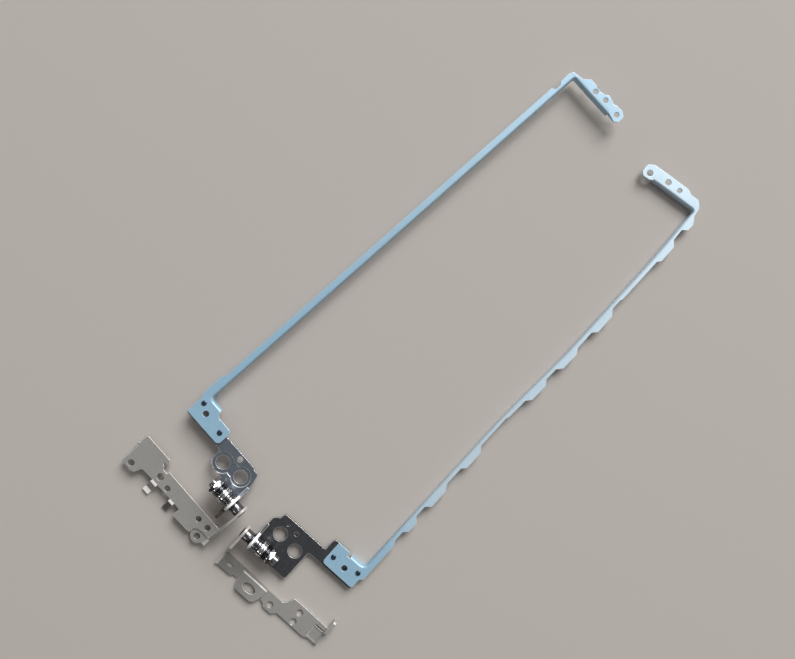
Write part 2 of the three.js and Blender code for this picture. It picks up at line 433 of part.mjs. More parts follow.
// ---------- one hinge ----------
function hinge(side, base, arm, rail) {
  const g = new THREE.Group();
  g.name = `${side}_hinge`;
  const add = (name, body, material) => g.add(piece(`${side}_${name}`, body, material));
  add("base_bracket", baseBracket(base), nickel());
  add("arm_bracket", armBracket(arm, rail), armPaint[side]());
  add("display_rail", displayRail(rail), zinc());
  rail.rivets.forEach((r, i) => add(`rail_rivet_${"ab"[i]}`, rivet(r), rivetDark()));
  add("hinge_shaft", shaft(spans.nut[1] + threadPast[side]), steel());
  add("inner_friction_washer", washer(spans.innerWasher, rim.innerWasher, true), steel());
  const stop = washer(spans.stopWasher, rim.stopWasher, true);
  add("stop_washer", side === "left" ? join(stop, ...stopFinger()) : stop, steel());
  add("keyed_sleeve_a", washer(spans.sleeveA, rim.sleeve, true), steel());
  add("keyed_sleeve_b", washer(spans.sleeveB, rim.sleeve, true), steel());
  add("thrust_disc", washer(spans.thrustDisc, rim.disc, true), steel());
  add("cam_disc", washer(spans.camDisc, rim.disc, true), steel());
  for (let i = 0; i < springs.count; i++) add(`disc_spring_${i + 1}`, discSpring(i), springSteel());
  add("pressure_washer", washer(spans.pressureWasher, rim.pressureWasher, false), steel());
  add("lock_nut", lockNut(spans.nut), steel());
  return g;
}

const pair = new THREE.Group();
pair.name = "laptop_display_hinge_pair";
const right = hinge("right", rightBase, rightArm, rightRail);
const left = hinge("left", leftBase, leftArm, leftRail);
const splay = THREE.MathUtils.degToRad(3.25);
right.position.set(16.67, -107.49, -baseLevel.bottom);
right.rotation.z = splay;
left.position.set(7.41, -102.04, -baseLevel.bottom - Math.min(...leftBase.footTab.profile.map((p) => p[1])));
left.rotation.z = -splay;
left.scale.x = -1;
pair.add(right, left);

// Origin: middle of the outer box in plan, on the surface the pair lies on.
pair.updateMatrixWorld(true);
const bounds = new THREE.Box3().setFromObject(pair, true);
const middle = bounds.getCenter(new THREE.Vector3());
for (const h of [right, left]) h.position.sub(new THREE.Vector3(middle.x, middle.y, bounds.min.z));

export default pair;
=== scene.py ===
import json
import math

import bmesh
import bpy
import numpy as np
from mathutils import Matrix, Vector
from mathutils.geometry import delaunay_2d_cdt

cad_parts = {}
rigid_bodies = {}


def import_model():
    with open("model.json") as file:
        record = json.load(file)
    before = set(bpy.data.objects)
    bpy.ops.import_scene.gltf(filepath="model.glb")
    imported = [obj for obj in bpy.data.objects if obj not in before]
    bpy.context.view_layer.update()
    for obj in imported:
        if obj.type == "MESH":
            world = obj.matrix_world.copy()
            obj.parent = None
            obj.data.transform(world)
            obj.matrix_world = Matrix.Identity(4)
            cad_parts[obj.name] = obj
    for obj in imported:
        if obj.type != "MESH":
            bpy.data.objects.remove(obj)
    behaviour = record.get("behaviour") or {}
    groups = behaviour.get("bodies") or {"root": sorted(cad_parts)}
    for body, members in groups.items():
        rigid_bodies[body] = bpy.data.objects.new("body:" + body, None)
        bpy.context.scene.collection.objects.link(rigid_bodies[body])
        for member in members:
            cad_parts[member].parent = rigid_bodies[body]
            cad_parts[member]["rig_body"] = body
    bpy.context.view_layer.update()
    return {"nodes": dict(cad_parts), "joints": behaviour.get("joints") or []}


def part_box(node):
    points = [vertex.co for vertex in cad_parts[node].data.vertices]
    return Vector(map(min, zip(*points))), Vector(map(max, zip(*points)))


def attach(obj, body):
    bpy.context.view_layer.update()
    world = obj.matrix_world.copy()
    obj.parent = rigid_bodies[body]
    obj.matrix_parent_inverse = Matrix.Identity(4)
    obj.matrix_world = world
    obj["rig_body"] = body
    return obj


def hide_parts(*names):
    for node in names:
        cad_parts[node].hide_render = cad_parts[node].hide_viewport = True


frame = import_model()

nodes = frame["nodes"]
mm = 0.001
sides = ("right", "left")
print("frame loaded:", len(nodes), "nodes")


# Places: each hinge has its own x along the shaft, y towards the rail and z up.
# The joint sits in the middle of the arm's ear, this far along the shaft; x starts near the base ear's inner side.
jointAlong = 4.3


def hingeFrame(side):
    joint = next(j for j in frame["joints"] if j["name"] == side + "_hinge")
    along = Vector(joint["axis"]).normalized() * (1 if side == "right" else -1)
    across = Vector((0, 0, 1)).cross(along) * (1 if side == "right" else -1)
    origin = np.array(joint["pos_m"]) - jointAlong * mm * np.array(along)
    return {"origin": origin, "axes": np.array([along, across, (0, 0, 1)])}


hinges = {side: hingeFrame(side) for side in sides}


def toHinge(side, points):  # row frame in metres to the hinge's own millimetres
    h = hinges[side]
    return (np.asarray(points) - h["origin"]) @ h["axes"].T / mm


def fromHinge(side, points):
    h = hinges[side]
    return h["origin"] + (np.asarray(points) * mm) @ h["axes"]


def nodePoints(name):
    data = nodes[name].data
    co = np.empty(len(data.vertices) * 3, np.float32)
    data.vertices.foreach_get("co", co)
    return co.reshape(-1, 3).astype(float)


def faceCentres(side, mesh):  # in the hinge's own millimetres
    centre = np.empty(len(mesh.polygons) * 3, np.float32)
    mesh.polygons.foreach_get("center", centre)
    return toHinge(side, centre.reshape(-1, 3))


def spanOf(side, node):  # start and end along the shaft, and largest radius, from the CAD node itself
    p = toHinge(side, nodePoints(f"{side}_{node}"))
    return p[:, 0].min(), p[:, 0].max(), np.hypot(p[:, 1], p[:, 2]).max()


def bodyOf(name):
    return nodes[name]["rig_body"]


# Meshes.
def addPiece(name, mesh, node, material, extra=()):
    piece = bpy.data.objects.new(name, mesh)
    bpy.context.scene.collection.objects.link(piece)
    mesh.materials.clear()
    mesh.materials.append(material)
    for m in extra:
        mesh.materials.append(m)
    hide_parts(node)
    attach(piece, bodyOf(node))
    return piece


# Grid of points, rows by columns, closed round the columns. Rows close on themselves for a ring,
# or end in one pole point each for a solid of revolution.
def gridMesh(name, points, ring, poles=None, smoothAngle=32):
    rows, cols = points.shape[:2]
    index = np.arange(rows * cols).reshape(rows, cols)
    a, b = (index, np.roll(index, -1, 0)) if ring else (index[:-1], index[1:])
    quads = np.stack([a, np.roll(a, -1, 1), np.roll(b, -1, 1), b], -1).reshape(-1, 4)
    verts = points.reshape(-1, 3)
    faces = quads.tolist()
    if poles is not None:
        verts = np.vstack([verts, poles])
        first, last = rows * cols, rows * cols + 1
        faces += np.stack([np.full(cols, first), np.roll(index[0], -1), index[0]], -1).tolist()
        faces += np.stack([np.full(cols, last), index[-1], np.roll(index[-1], -1)], -1).tolist()
    mesh = bpy.data.meshes.new(name)
    mesh.from_pydata(verts.tolist(), [], faces)
    outward(mesh)
    mesh.polygons.foreach_set("use_smooth", np.ones(len(mesh.polygons), bool))
    mesh.set_sharp_from_angle(angle=math.radians(smoothAngle))
    return mesh


def outward(mesh):
    bm = bmesh.new()
    bm.from_mesh(mesh)
    bmesh.ops.remove_doubles(bm, verts=bm.verts, dist=1e-8)
    bmesh.ops.recalc_face_normals(bm, faces=bm.faces)
    bm.to_mesh(mesh)
    bm.free()


# How easing goes about its work, lengths in mm and angles in degrees. An edge at a spot with trouble stays sharp
# when it is no longer than keptLengths allows at the spot's level and comes nearer than reach times the easing.
# Spots nearer to each other than sameSpot are one. Faces with less than endOn of their direction along the shaft
# look away from it.
easingRules = {"merge": 2e-6, "flat": 0.6, "keptLengths": (0.9, 1.6, 3.2, 6.5, 14.0, 1000.0), "reach": 3.2,
               "sameSpot": 0.8, "endOn": 0.9}


# Sheet metal with its edges eased: the CAD node's triangles are merged, flat faces joined up again,
# and every edge sharper than cornerAngle gets a small round. Faces on the round carry "easedEdge". Where features
# lie closer than the rounds need, the outlines would cross: edges at such a spot stay sharp in the next try,
# short ones first.
def easedSheet(name, side, node, look):
    spots = []  # places with trouble, each as [place, level]
    longest = easingRules["keptLengths"]
    for attempt in range(look["tries"]):
        bm = bmesh.new()
        bm.from_mesh(nodes[node].data)
        bmesh.ops.remove_doubles(bm, verts=bm.verts, dist=easingRules["merge"])
        bmesh.ops.dissolve_degenerate(bm, edges=bm.edges, dist=1e-7)
        flatAngle, cornerAngle = math.radians(easingRules["flat"]), math.radians(look["cornerAngle"])
        bmesh.ops.dissolve_limit(bm, verts=bm.verts, edges=bm.edges, angle_limit=flatAngle)
        sharp = [e for e in bm.edges if len(e.link_faces) == 2 and e.calc_face_angle(0) > cornerAngle]
        holes = holeRims(sharp)
        kept = sharp
        reach = look["easing"] * easingRules["reach"] * mm
        for place, level in spots:
            limit = longest[min(level, len(longest) - 1)] * mm
            kept = [e for e in kept if e.calc_length() > limit or distanceTo(place, e) > reach]
        eased = bm.faces.layers.float.new("easedEdge")
        wearAndSheen = bm.faces.layers.float.new("edgeWornSheen")
        made = bmesh.ops.bevel(bm, geom=kept, offset=look["easing"] * mm, offset_type="OFFSET",
                               segments=look["rounds"], profile=0.5, affect="EDGES", clamp_overlap=False,
                               loop_slide=False)
        for f in made["faces"]:
            f[eased] = 1.0
            centre = f.calc_center_median()
            f[wearAndSheen] = look["holeWearAndSheen"] if any((centre - c).length < r for c, r in holes) else 1.0
        trouble = [v.co.copy() for e in bm.edges if len(e.link_faces) != 2 for v in e.verts]
        filled, crossings = refillFlats(bm, eased)
        trouble += crossings
        if not trouble or attempt == look["tries"] - 1:
            break
        raised = []
        for t in trouble:
            known = [s for s in spots if (s[0] - t).length < easingRules["sameSpot"] * mm]
            if not known:
                spots.append([t, 0])
                raised.append(spots[-1])
            for s in known:
                if not any(s is r for r in raised):
                    s[1] += 1
                    raised.append(s)
        bm.free()
    bmesh.ops.triangulate(bm, faces=[f for f in bm.faces if len(f.verts) > 4])
    bm.verts.index_update()
    listed = sorted(bm.faces, key=lambda f: [v.index for v in f.verts])
    bm.faces.sort(key={f: i for i, f in enumerate(listed)}.get)  # faces in one order every run
    low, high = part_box(node)
    for v in bm.verts:  # nothing stands outside the CAD piece's own box
        v.co = [min(max(v.co[i], low[i]), high[i]) for i in range(3)]
    mesh = bpy.data.meshes.new(name)
    bm.to_mesh(mesh)
    bm.free()
    print(name, "tries:", attempt + 1, "edges:", len(sharp), "left sharp:", len(sharp) - len(kept))
    print(name, "flats filled:", filled, "spots left:", len(trouble))
    markZones(mesh, side, look)
    flatFaceNormals(mesh)
    return mesh


def distanceTo(place, edge):  # from a place to the nearest point of an edge
    a, b = edge.verts[0].co, edge.verts[1].co
    along = b - a
    share = min(max((place - a).dot(along) / max(along.length_squared, 1e-18), 0.0), 1.0)
    return (place - a - share * along).length


# Faces count as one flat when the cosine between them is above sameFlat. Where outlines cross, a flat is reported
# as trouble when the filling has more than extraArea (mm2) over its own, or it has more than manyCorners corners
# and is larger than largeArea (mm2).
flatRules = {"sameFlat": 0.9999, "merge": 1e-6, "extraArea": 0.03, "manyCorners": 12, "largeArea": 10}


# Triangles that lie within the outline: those whose middle has an odd number of outline crossings to one side.
def trianglesInside(spot, triangles, ends):
    middle = spot[triangles].mean(1)
    (ax, ay), (bx, by) = ends[:, 0].T, ends[:, 1].T
    spans = (ay[None] > middle[:, 1:]) != (by[None] > middle[:, 1:])
    cross = ax[None] + (middle[:, 1:] - ay[None]) * (bx - ax)[None] / np.where(by == ay, 1, by - ay)[None]
    return triangles[(spans & (cross > middle[:, :1])).sum(1) % 2 == 1]


# A round can push a thin wedge of a flat face inside out, so each flat is emptied and filled again
# from its own outline and holes, by a constrained Delaunay triangulation in its plane. Faces and corners are kept
# as dictionary keys, which hold their order, so that every run fills them alike.
def refillFlats(bm, eased):
    left, filled, crossings = dict.fromkeys(f for f in bm.faces if f[eased] < 0.5), 0, []
    while left:
        group, front = [], [left.popitem()[0]]
        while front:
            f = front.pop()
            group.append(f)
            near = dict.fromkeys(g for e in f.edges for g in e.link_faces
                                 if g in left and abs(g.normal.dot(f.normal)) > flatRules["sameFlat"])
            for g in near:
                del left[g]
            front += near
        up = sum((f.normal * f.calc_area() for f in group), Vector())
        if up.length < 1e-12 or not any(len(f.verts) > 4 or f.normal.dot(up) < 0 for f in group):
            continue
        size = up.length
        up.normalize()
        inside = set(group)
        rim = [e for f in group for e in f.edges if sum(g in inside for g in e.link_faces) == 1]
        corners = list(dict.fromkeys(v for e in rim for v in e.verts))
        place = {v: i for i, v in enumerate(corners)}
        right = up.orthogonal().normalized()
        ahead = up.cross(right)
        flat = [Vector((v.co.dot(right), v.co.dot(ahead))) / mm for v in corners]
        outlines = [(place[e.verts[0]], place[e.verts[1]]) for e in rim]
        found = delaunay_2d_cdt(flat, outlines, [], 0, flatRules["merge"])
        spot = np.array([q[:] for q in found[0]])
        flatRim = np.array([q[:] for q in flat])
        ends = flatRim[[[place[v] for v in e.verts] for e in rim]]
        triangles = trianglesInside(spot, np.unique(np.sort(found[2], 1), axis=0), ends)  # in one order every run
        if len(found[0]) != len(corners) or any(len(o) != 1 for o in found[3]):
            first = spot[triangles[:, 0]]
            area = 0.5 * np.abs(np.cross(spot[triangles[:, 1]] - first, spot[triangles[:, 2]] - first)).sum()
            large = len(corners) > flatRules["manyCorners"] and size > flatRules["largeArea"] * mm ** 2
            if area - size / mm ** 2 > flatRules["extraArea"] or large:
                base = corners[0].co
                for q, o in zip(found[0], found[3]):
                    if len(o) != 1:
                        aside, forth = q[0] * mm - base.dot(right), q[1] * mm - base.dot(ahead)
                        crossings.append(base + right * aside + ahead * forth)
            continue
        bmesh.ops.delete(bm, geom=group, context="FACES_ONLY")
        bare = [e for e in bm.edges if not e.link_faces and not all(v in place for v in e.verts)]
        bmesh.ops.delete(bm, geom=bare, context="EDGES")
        for tri in triangles:
            v = [corners[found[3][i][0]] for i in tri]
            if (v[1].co - v[0].co).cross(v[2].co - v[0].co).dot(up) < 0:
                v.reverse()
            if bm.faces.get(v) is None:
                bm.faces.new(v)
        bm.normal_update()
        filled += 1
    bmesh.ops.delete(bm, geom=[e for e in bm.edges if not e.link_faces], context="EDGES")
    bmesh.ops.delete(bm, geom=[v for v in bm.verts if not v.link_faces], context="VERTS")
    return filled, crossings


# Rims of small holes: chains of joined edges that reach less than smallHole (mm) from their middle, each as its
# middle and its reach with holeRoom (mm) added.
smallHole, holeRoom = 3, 0.3


def holeRims(edges):
    left, rims = set(edges), []
    while left:
        chain, front = [], [left.pop()]
        while front:
            e = front.pop()
            chain.append(e)
            near = {n for v in e.verts for n in v.link_edges if n in left}
            left -= near
            front += near
        p = np.array([v.co for e in chain for v in e.verts])
        middle = (p.min(0) + p.max(0)) / 2
        reach = np.linalg.norm(p - middle, axis=1).max()
        if reach < smallHole * mm:
            rims.append((Vector(middle), reach + holeRoom * mm))
    return rims


# Bare sheared rim of the upright ear, drawn light and nearly matte as a painted highlight: faces between the ear's
# two sides that look away from the shaft's direction.
def markZones(mesh, side, look):
    ear = look["ear"]
    count = len(mesh.polygons)
    normal = np.empty(count * 3, np.float32)
    mesh.polygons.foreach_get("normal", normal)
    place = faceCentres(side, mesh)
    endOn = np.abs(normal.reshape(-1, 3) @ hinges[side]["axes"][0])
    rim = (place[:, 0] > ear["from"]) & (place[:, 0] < ear["to"]) & (endOn < easingRules["endOn"])
    rim &= (place[:, 2] > ear["above"]) & (place[:, 1] < ear["before"])
    mesh.attributes.new("bareRimHighlight", "FLOAT", "FACE").data.foreach_set("value", rim.astype(np.float32))
    # The first zones carry a painted highlight on tab bends; the second make tab legs fully metallic.
    for mark in ("paintedBendHighlight", "burnished"):  # zones of tabs, as (from x, to x, from y, to y) of the hinge's frame
        inZone = np.zeros(count, bool)
        for x0, x1, y0, y1 in look.get(mark, {}).get(side, ()):
            inZone |= (place[:, 0] > x0) & (place[:, 0] < x1) & (place[:, 1] > y0) & (place[:, 1] < y1)
        mesh.attributes.new(mark, "FLOAT", "FACE").data.foreach_set("value", inZone.astype(np.float32))


# Corner normals that leave flat faces flat: each corner takes the area-weighted mean of the normals round its vertex
# that lie within an angle of its own face, wider on a small round, and the small rounds hardly count in it.
normalRules = {"flatWithin": 38, "roundWithin": 75, "roundShare": 1e-4}


def flatFaceNormals(mesh):
    count, corners = len(mesh.polygons), len(mesh.loops)
    normal, area, eased = np.empty(count * 3, np.float32), np.empty(count, np.float32), np.empty(count, np.float32)
    total, vertex = np.empty(count, np.int32), np.empty(corners, np.int32)
    mesh.polygons.foreach_get("normal", normal)
    mesh.polygons.foreach_get("area", area)
    mesh.attributes["easedEdge"].data.foreach_get("value", eased)
    mesh.polygons.foreach_get("loop_total", total)
    mesh.loops.foreach_get("vertex_index", vertex)
    normal = normal.reshape(-1, 3).astype(float)
    face = np.repeat(np.arange(count), total)
    meeting = np.bincount(vertex, minlength=len(mesh.vertices))
    first, order = np.cumsum(meeting) - meeting, np.argsort(vertex, kind="stable")
    pairs = meeting[vertex]  # every corner is paired with all corners at its vertex
    own = np.repeat(np.arange(corners), pairs)
    step = np.arange(pairs.sum()) - np.repeat(np.cumsum(pairs) - pairs, pairs)
    other = order[first[vertex[own]] + step]
    n, m = normal[face[own]], normal[face[other]]
    wide, narrow = (math.cos(math.radians(normalRules[k])) for k in ("roundWithin", "flatWithin"))
    limit = np.where(eased[face[own]] > 0.5, wide, narrow)
    share = np.where(eased[face[other]] > 0.5, normalRules["roundShare"], 1.0)
    weight = np.where((n * m).sum(1) > limit, area[face[other]] * share + 1e-16, 0)
    summed = np.zeros((corners, 3))
    np.add.at(summed, own, m * weight[:, None])
    size = np.linalg.norm(summed, axis=1, keepdims=True)
    corner = np.where(size > 1e-18, summed / np.maximum(size, 1e-18), normal[face])
    mesh.polygons.foreach_set("use_smooth", np.ones(count, bool))
    mesh.normals_split_custom_set(corner.tolist())


# Shared shader effects.
def newGroup(name, inputs, outputs):
    group = bpy.data.node_groups.new(name, "ShaderNodeTree")
    for label, kind, value in inputs:
        s = group.interface.new_socket(name=label, in_out="INPUT", socket_type=kind)
        if value is not None:
            s.default_value = value
    for label, kind in outputs:
        group.interface.new_socket(name=label, in_out="OUTPUT", socket_type=kind)
    return group, group.nodes.new("NodeGroupInput"), group.nodes.new("NodeGroupOutput")


def link(tree, source, target):  # a number is set on the socket itself
    if isinstance(source, (int, float)):
        target.default_value = source
    else:
        tree.links.new(source, target)


def mathNode(tree, operation, a, b=None, clamp=False):
    n = tree.nodes.new("ShaderNodeMath")
    n.operation = operation
    n.use_clamp = clamp
    link(tree, a, n.inputs[0])
    if b is not None:
        link(tree, b, n.inputs[1])
    return n.outputs[0]


def times(tree, a, b):
    return mathNode(tree, "MULTIPLY", a, b)


def ramp(tree, value, low, high, outLow=0.0, outHigh=1.0, smooth=True):
    n = tree.nodes.new("ShaderNodeMapRange")
    n.interpolation_type = "SMOOTHSTEP" if smooth else "LINEAR"
    for label, v in (("Value", value), ("From Min", low), ("From Max", high), ("To Min", outLow),
                     ("To Max", outHigh)):
        link(tree, v, n.inputs[label])
    return n.outputs["Result"]


def coordinate(tree, vector, axis):
    n = tree.nodes.new("ShaderNodeSeparateXYZ")
    link(tree, vector, n.inputs[0])
    return n.outputs[axis]


def noise(tree, vector, scale, detail=3.0, rough=0.55):
    n = tree.nodes.new("ShaderNodeTexNoise")
    for label, v in (("Vector", vector), ("Scale", scale), ("Detail", detail), ("Roughness", rough)):
        link(tree, v, n.inputs[label])
    return n.outputs["Fac"]


def stretch(tree, vector, scale):
    n = tree.nodes.new("ShaderNodeMapping")
    n.inputs["Scale"].default_value = scale
    link(tree, vector, n.inputs["Vector"])
    return n.outputs["Vector"]


vectorSocket, valueSocket = "NodeSocketVector", "NodeSocketFloat"


# Clouds in a plated or coated surface: two sizes of soft patches, by their noise scales per millimetre.
def makeClouds():
    look = {"wide": 0.11, "small": 0.75, "wideShare": 0.6, "smallShare": 0.4, "swing": 4.0, "hazeOver": (0.35, 0.7)}
    g, gi, go = newGroup("platingClouds", [("Place", vectorSocket, None), ("Strength", valueSocket, 0.1)],
                         [("Tint", valueSocket), ("Haze", valueSocket)])
    wide = noise(g, gi.outputs["Place"], look["wide"], 3)
    small = noise(g, gi.outputs["Place"], look["small"], 4)
    both = mathNode(g, "ADD", times(g, wide, look["wideShare"]), times(g, small, look["smallShare"]))
    strong = times(g, mathNode(g, "SUBTRACT", both, 0.5), gi.outputs["Strength"])
    link(g, mathNode(g, "ADD", 1.0, times(g, strong, look["swing"])), go.inputs["Tint"])
    link(g, ramp(g, small, *look["hazeOver"]), go.inputs["Haze"])
    return g


# Rolling grain of the sheet: noise drawn out along the sheet's rolling direction, over a faint orange peel.
def makeGrain():
    look = {"drawn": (0.35, 9.0, 9.0), "drawnRough": 0.6, "drawnShare": 0.6, "peel": 2.2, "peelShare": 0.4}
    g, gi, go = newGroup("rollingGrain", [("Place", vectorSocket, None)], [("Height", valueSocket)])
    fine = noise(g, stretch(g, gi.outputs["Place"], look["drawn"]), 1.0, 4, look["drawnRough"])
    peel = noise(g, gi.outputs["Place"], look["peel"], 2)
    both = mathNode(g, "ADD", times(g, fine, look["drawnShare"]), times(g, peel, look["peelShare"]))
    link(g, both, go.inputs["Height"])
    return g


# Scratches from handling: crossing sets of thin broken lines, each set as its turn and scale. A line is where
# drawn-out noise is within 1 / sharpness of a half.
def makeScratches():
    look = {"sets": ((0.5, 0.55), (-0.9, 0.8), (1.35, 0.4)), "along": 0.06, "across": 2.6, "sharpness": 60.0,
            "breaks": 0.5, "breaksOver": (0.52, 0.66)}
    g, gi, go = newGroup("handlingScratches", [("Place", vectorSocket, None), ("Amount", valueSocket, 0.5)],
                         [("Mask", valueSocket)])
    total = None
    for turned, scale in look["sets"]:
        m = g.nodes.new("ShaderNodeMapping")
        m.inputs["Rotation"].default_value = (0, 0, turned)
        m.inputs["Scale"].default_value = (look["along"] * scale, look["across"] * scale, look["across"] * scale)
        link(g, gi.outputs["Place"], m.inputs["Vector"])
        line = noise(g, m.outputs["Vector"], 1.0, 2, 0.5)
        away = mathNode(g, "ABSOLUTE", mathNode(g, "SUBTRACT", line, 0.5))
        thin = mathNode(g, "SUBTRACT", 1.0, times(g, away, look["sharpness"]), clamp=True)
        total = thin if total is None else mathNode(g, "MAXIMUM", total, thin)
    broken = ramp(g, noise(g, gi.outputs["Place"], look["breaks"], 2), *look["breaksOver"])
    link(g, times(g, times(g, total, broken), gi.outputs["Amount"]), go.inputs["Mask"])
    return g


# Wear and a painted highlight on eased and sheared edges: the edge mark broken up by noise. A larger amount starts it
# at a lower noise.
def makeEdgeWearAndSheen():
    look = {"patch": 1.3, "rough": 0.6, "start": 0.62, "lowered": 0.45, "softness": 0.14}
    g, gi, go = newGroup("edgeWearAndSheen", [("Place", vectorSocket, None), ("Edge", valueSocket, 0.0),
                                      ("Amount", valueSocket, 0.5)], [("Mask", valueSocket)])
    patch = noise(g, gi.outputs["Place"], look["patch"], 4, look["rough"])
    start = mathNode(g, "SUBTRACT", look["start"], times(g, gi.outputs["Amount"], look["lowered"]))
    wornSheen = ramp(g, patch, start, mathNode(g, "ADD", start, look["softness"]))
    link(g, times(g, wornSheen, gi.outputs["Edge"]), go.inputs["Mask"])
    return g


# Tool marks of a turned piece: fine rings that depend only on the distance from the shaft's axis and the place
# along it.
def makeRings():
    g, gi, go = newGroup("turningRings", [("Place", vectorSocket, None), ("Density", valueSocket, 8.0)],
                         [("Height", valueSocket)])
    along, across, above = (coordinate(g, gi.outputs["Place"], i) for i in range(3))
    radius = mathNode(g, "SQRT", mathNode(g, "ADD", times(g, across, across), times(g, above, above)))
    c = g.nodes.new("ShaderNodeCombineXYZ")
    link(g, times(g, along, gi.outputs["Density"]), c.inputs[0])
    link(g, times(g, radius, gi.outputs["Density"]), c.inputs[1])
    link(g, noise(g, c.outputs[0], 1.0, 2, 0.5), go.inputs["Height"])
    return g


groups = {"clouds": makeClouds(), "grain": makeGrain(), "scratches": makeScratches(), "wearAndSheen": makeEdgeWearAndSheen(),
          "rings": makeRings()}
print("shader groups made:", len(groups))


def useGroup(tree, name, **values):
    n = tree.nodes.new("ShaderNodeGroup")
    n.node_tree = groups[name]
    for label, v in values.items():
        link(tree, v, n.inputs[label])
    return n.outputs


def newMaterial(name, side):
    material = bpy.data.materials.new(name)
    material.use_nodes = True
    tree = material.node_tree
    shader = tree.nodes["Principled BSDF"]
    place = tree.nodes.new("ShaderNodeTexCoord")
    own = tree.nodes.new("ShaderNodeMapping")
    own.vector_type = "TEXTURE"
    own.inputs["Location"].default_value = hinges[side]["origin"].tolist()
    a = hinges[side]["axes"][0]
    own.inputs["Rotation"].default_value = (0, 0, math.atan2(a[1], a[0]))
    own.inputs["Scale"].default_value = (mm, mm, mm)
    link(tree, place.outputs["Object"], own.inputs["Vector"])
    return material, tree, shader, own.outputs["Vector"]


def colourMix(tree, fac, a, b, blend="MIX"):
    n = tree.nodes.new("ShaderNodeMix")
    n.data_type = "RGBA"
    n.blend_type = blend
    link(tree, fac, n.inputs["Factor"])
    for i, v in ((6, a), (7, b)):  # the sockets for colours
        if isinstance(v, tuple):
            n.inputs[i].default_value = (*v, 1)
        else:
            link(tree, v, n.inputs[i])
    return n.outputs[2]


def scaled(tree, colour, factor):  # colour times a value that varies over the surface
    n = tree.nodes.new("ShaderNodeCombineColor")
    for i in range(3):
        link(tree, factor, n.inputs[i])
    return colourMix(tree, 1.0, colour, n.outputs[0], "MULTIPLY")


def attributeValue(tree, name):
    n = tree.nodes.new("ShaderNodeAttribute")
    n.attribute_name = name
    return n.outputs["Fac"]


def bump(tree, height, strength, distance):
    n = tree.nodes.new("ShaderNodeBump")
    for label, v in (("Strength", strength), ("Distance", distance * mm), ("Height", height)):
        link(tree, v, n.inputs[label])
    return n.outputs["Normal"]


# Plated or coated sheet steel. Scratches show by scratchShow of the colour of worn and highlighted edges, and cut
# scratchDepth of the grain's height. The whole relief is grainDepth (mm) high.
scratchShow, scratchDepth, grainDepth = 0.6, 0.8, 0.02


def sheetFinish(name, side, look):
    material, tree, shader, place = newMaterial(name, side)
    if look.get("grainTurned"):
        m = tree.nodes.new("ShaderNodeMapping")
        m.inputs["Rotation"].default_value = (0, 0, math.radians(90))
        link(tree, place, m.inputs["Vector"])
        grainPlace = m.outputs["Vector"]
    else:
        grainPlace = place
    clouds = useGroup(tree, "clouds", Place=place, Strength=look["clouds"])
    scratch = useGroup(tree, "scratches", Place=place, Amount=look["scratches"])["Mask"]
    rim = attributeValue(tree, "bareRimHighlight")
    wornSheen = useGroup(tree, "wearAndSheen", Place=place, Edge=attributeValue(tree, "edgeWornSheen"), Amount=look["wearAndSheen"])["Mask"]
    plain = colourMix(tree, clouds["Haze"], look["colour"], look["hazeColour"])
    if "paintedSheenColour" in look:  # painted reflection: the rail's colour gets paler away from the hinge
        away = mathNode(tree, "ABSOLUTE", coordinate(tree, place, 1))
        sheen = ramp(tree, away, look["sheenFrom"][side], look["sheenTo"][side], 0.0, look["sheenShare"][side])
        plain = colourMix(tree, sheen, plain, look["paintedSheenColour"])
    if "earShadeColour" in look:  # painted shade: the plating is darker towards the ear, where the hinge stack stands over it
        start, end, share = (look[k][side] for k in ("earShadeFrom", "earShadeTo", "earShadeShare"))
        earShade = ramp(tree, coordinate(tree, place, 0), start, end, share, 0.0)
        plain = colourMix(tree, earShade, plain, look["earShadeColour"])
    colour = scaled(tree, plain, clouds["Tint"])
    # Eased edges turn brighter and less metallic: partly real wear, partly a painted highlight along the edges.
    colour = colourMix(tree, wornSheen, colour, look["wornAndSheenColour"])
    colour = colourMix(tree, times(tree, scratch, scratchShow), colour, look["wornAndSheenColour"])
    # The ear's rim: bare sheared steel, with a painted highlight in its light, hardly metallic colour.
    colour = colourMix(tree, rim, colour, look["rimBareHighlightColour"])
    # Painted highlight: the zoned tab bends are mixed towards a near-white, hardly metallic colour.
    bendHighlight = times(tree, attributeValue(tree, "paintedBendHighlight"), look["bendHighlightShare"])
    colour = colourMix(tree, bendHighlight, colour, look["bendHighlightColour"])
    link(tree, colour, shader.inputs["Base Color"])
    rough = mathNode(tree, "ADD", look["roughness"], times(tree, clouds["Haze"], look["hazeRoughness"]))
    rough = mathNode(tree, "SUBTRACT", rough, times(tree, wornSheen, look["wornShine"]), clamp=True)
    link(tree, rough, shader.inputs["Roughness"])
    metal = ramp(tree, wornSheen, 0.0, 1.0, look["metal"], look["wornMetal"])
    metal = ramp(tree, rim, 0.0, 1.0, metal, look["rimMetal"])
    metal = ramp(tree, bendHighlight, 0.0, 0.5, metal, look["bendMetal"])
    link(tree, ramp(tree, attributeValue(tree, "burnished"), 0.0, 1.0, metal, 1.0), shader.inputs["Metallic"])
    grain = useGroup(tree, "grain", Place=grainPlace)["Height"]
    height = mathNode(tree, "SUBTRACT", grain, times(tree, scratch, scratchDepth))
    link(tree, bump(tree, height, look["grain"], grainDepth), shader.inputs["Normal"])
    return material


# Turned or ground steel with ring marks ringDepth (mm) high. The change between its two colours runs over ringOver
# of their height.
ringOver, ringDepth = (0.35, 0.65), 0.01


